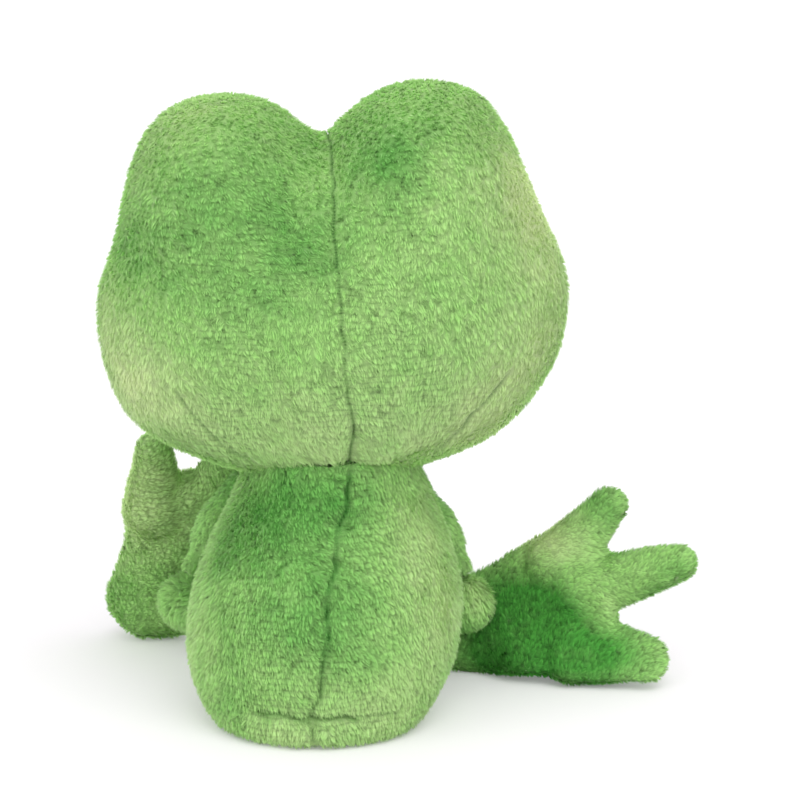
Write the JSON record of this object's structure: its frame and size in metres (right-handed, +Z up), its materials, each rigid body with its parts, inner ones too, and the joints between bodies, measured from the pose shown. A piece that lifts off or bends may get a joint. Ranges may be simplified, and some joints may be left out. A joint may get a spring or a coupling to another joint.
{
  "type": "plush frog",
  "caption": "Seated soft-toy frog in short-pile green cloth, with eye humps, a wide stitched mouth, thin arms and long three-toed feet.",
  "frame": {"origin": "middle of the flat seat, on the surface the frog sits on", "axes": "+Z up, the frog faces -Y, its left side is +X"},
  "size_m": [0.1604, 0.1118, 0.1617],
  "materials": {
    "plush": "short soft pile",
    "stuffing": "loose polyester fibre",
    "cotton": "plain weave",
    "eye": "polished",
    "felt": "pressed felt",
    "dark_thread": "embroidery thread",
    "green_thread": "sewing thread",
    "washer": "moulded"
  },
  "bodies": {
    "torso": {"body_back_left": "plush", "body_back_right": "plush", "belly_panel": "plush", "base_panel": "plush", "body_stuffing": "stuffing", "pellet_bag": "cotton"},
    "neck": {"neck_stuffing": "stuffing", "neck_seam": "green_thread"},
    "head": {"head_back_left": "plush", "head_back_right": "plush", "face_panel": "plush", "chin_panel": "plush", "head_stuffing": "stuffing", "left_eye_felt": "felt", "left_eye": "eye", "left_eye_washer": "washer", "left_nostril": "dark_thread", "right_eye_felt": "felt", "right_eye": "eye", "right_eye_washer": "washer", "right_nostril": "dark_thread", "mouth_thread": "dark_thread"},
    "arm_left": {"left_arm_outer": "plush", "left_arm_inner": "plush", "left_arm_stuffing": "stuffing"},
    "arm_right": {"right_arm_outer": "plush", "right_arm_inner": "plush", "right_arm_stuffing": "stuffing"},
    "leg_left": {"left_leg_tube": "plush", "left_leg_stuffing": "stuffing"},
    "leg_right": {"right_leg_tube": "plush", "right_leg_stuffing": "stuffing"},
    "foot_left": {"left_foot_upper": "plush", "left_foot_sole": "plush", "left_foot_stuffing": "stuffing"},
    "foot_right": {"right_foot_upper": "plush", "right_foot_sole": "plush", "right_foot_stuffing": "stuffing"}
  },
  "joints": [
    {"name": "neck_turn", "type": "hinge", "parent": "torso", "child": "neck", "pos_m": [-0.0033, 0, 0.062], "axis": [0, 0, 1], "range_deg": [-35, 35]},
    {"name": "neck_nod", "type": "hinge", "parent": "neck", "child": "head", "pos_m": [-0.0033, 0, 0.062], "axis": [1, 0, 0], "range_deg": [-14, 10]},
    {"name": "left_arm_raise", "type": "hinge", "parent": "torso", "child": "arm_left", "pos_m": [0.0206, -0.026, 0.0535], "axis": [0.1736, 0.9848, 0], "range_deg": [-60, 0]},
    {"name": "right_arm_raise", "type": "hinge", "parent": "torso", "child": "arm_right", "pos_m": [-0.0252, -0.026, 0.054], "axis": [-0.1736, 0.9848, 0], "range_deg": [0, 60]},
    {"name": "left_leg_spread", "type": "hinge", "parent": "torso", "child": "leg_left", "pos_m": [0.0232, -0.0316, 0.0127], "axis": [0, 0, 1], "range_deg": [-10, 15]},
    {"name": "right_leg_spread", "type": "hinge", "parent": "torso", "child": "leg_right", "pos_m": [-0.0202, -0.0362, 0.0196], "axis": [0, 0, 1], "range_deg": [0, 40]},
    {"name": "left_foot_turn", "type": "hinge", "parent": "leg_left", "child": "foot_left", "pos_m": [0.03669, -0.05406, 0.0127], "axis": [-0.161, 0.9131, -0.3746], "range_deg": [-15, 20]},
    {"name": "right_foot_turn", "type": "hinge", "parent": "leg_right", "child": "foot_right", "pos_m": [-0.03735, -0.02927, 0.0196], "axis": [0.2556, 0.954, 0.1564], "range_deg": [0, 65]}
  ]
}
